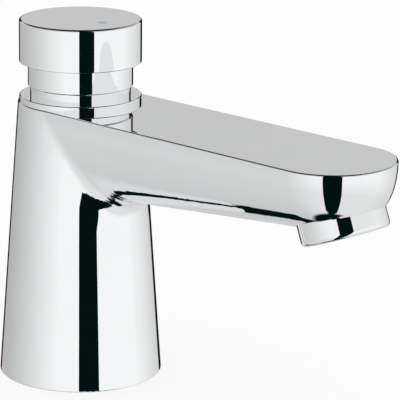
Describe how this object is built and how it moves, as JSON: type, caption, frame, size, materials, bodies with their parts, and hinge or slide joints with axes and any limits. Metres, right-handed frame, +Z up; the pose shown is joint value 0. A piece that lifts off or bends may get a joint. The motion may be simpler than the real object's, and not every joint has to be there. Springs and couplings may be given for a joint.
{
  "type": "push timed basin tap",
  "caption": "Chrome basin tap with a tapered round column, a flat-topped rounded spout, a tilted aerator outlet and a push cap that starts a timed flow.",
  "frame": {"origin": "centre of the foot on the deck plane, on the axis of the inlet tail", "axes": "+Z up the column along the tail's axis, +X along the spout towards the outlet, +Y to the left side"},
  "size_m": [0.1372, 0.048, 0.1559],
  "materials": {
    "chrome": "polished chrome plate",
    "brass": "machined brass",
    "steel": "plain stainless steel",
    "white_plastic": "moulded acetal",
    "grey_plastic": "moulded plastic",
    "rubber": "moulded rubber",
    "blue_marker": "glossy insert"
  },
  "bodies": {
    "root": {"tap_body": "chrome", "top_collar": "chrome", "cartridge_head": "chrome", "guide_sleeve": "chrome", "aerator_housing": "chrome", "inlet_tail": "brass", "back_nut": "brass", "sleeve_lock_nut": "brass", "timing_screw": "brass", "return_spring": "steel", "clamp_washer": "steel", "inlet_strainer": "steel", "aerator_screen": "steel", "cartridge_housing": "white_plastic", "flow_regulator": "grey_plastic", "aerator_grille": "grey_plastic", "base_gasket": "rubber", "rubber_washer": "rubber", "tail_seal": "rubber", "upper_o_ring": "rubber", "lower_o_ring": "rubber", "stem_o_ring": "rubber", "aerator_seal": "rubber"},
    "push": {"push_cap": "chrome", "marker_disc": "blue_marker", "cap_carrier": "grey_plastic", "carrier_screw": "steel", "push_stem": "steel", "timing_piston": "white_plastic", "piston_clip": "steel", "piston_seal": "rubber", "valve_washer": "rubber", "valve_holder": "brass", "valve_nut": "brass"}
  },
  "joints": [
    {"name": "push_slide", "type": "slide", "parent": "root", "child": "push", "axis": [0, 0, -1], "range_m": [0, 0.006], "stiffness_N_per_m": 1333, "springref_m": -0.009, "deforming": ["return_spring"]}
  ]
}
